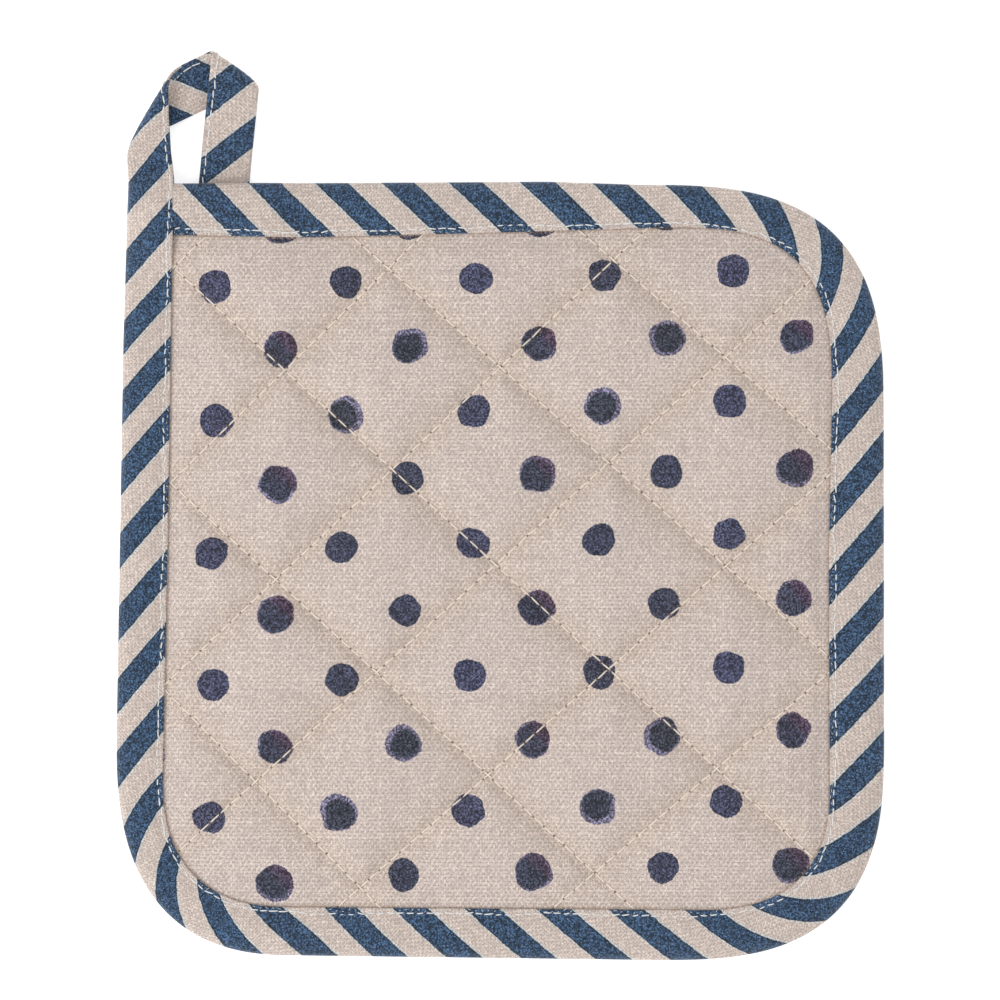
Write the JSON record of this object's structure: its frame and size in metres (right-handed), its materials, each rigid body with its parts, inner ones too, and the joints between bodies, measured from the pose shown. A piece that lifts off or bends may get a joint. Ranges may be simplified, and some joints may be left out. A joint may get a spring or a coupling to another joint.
{
  "type": "quilted pot holder",
  "caption": "Padded square cloth pot holder, sewn in diamonds, with a bound edge and a folded hanging loop at one corner.",
  "frame": {"origin": "on the surface that the pot holder lies on, under the middle of its whole box, loop included", "axes": "+X to the right and +Y up the pad towards the loop, seen from the front; +Z out of the front face"},
  "size_m": [0.2002, 0.2376, 0.01],
  "materials": {
    "dotted_canvas": "matt cotton canvas with scattered dark round dots",
    "striped_binding": "matt cotton twill cut on the bias, wide stripes",
    "striped_loop": "matt cotton twill cut on the bias, wide stripes"
  },
  "bodies": {
    "root": {"quilted_pad": "dotted_canvas", "edge_binding": "striped_binding", "hanging_loop": "striped_loop"}
  },
  "joints": []
}
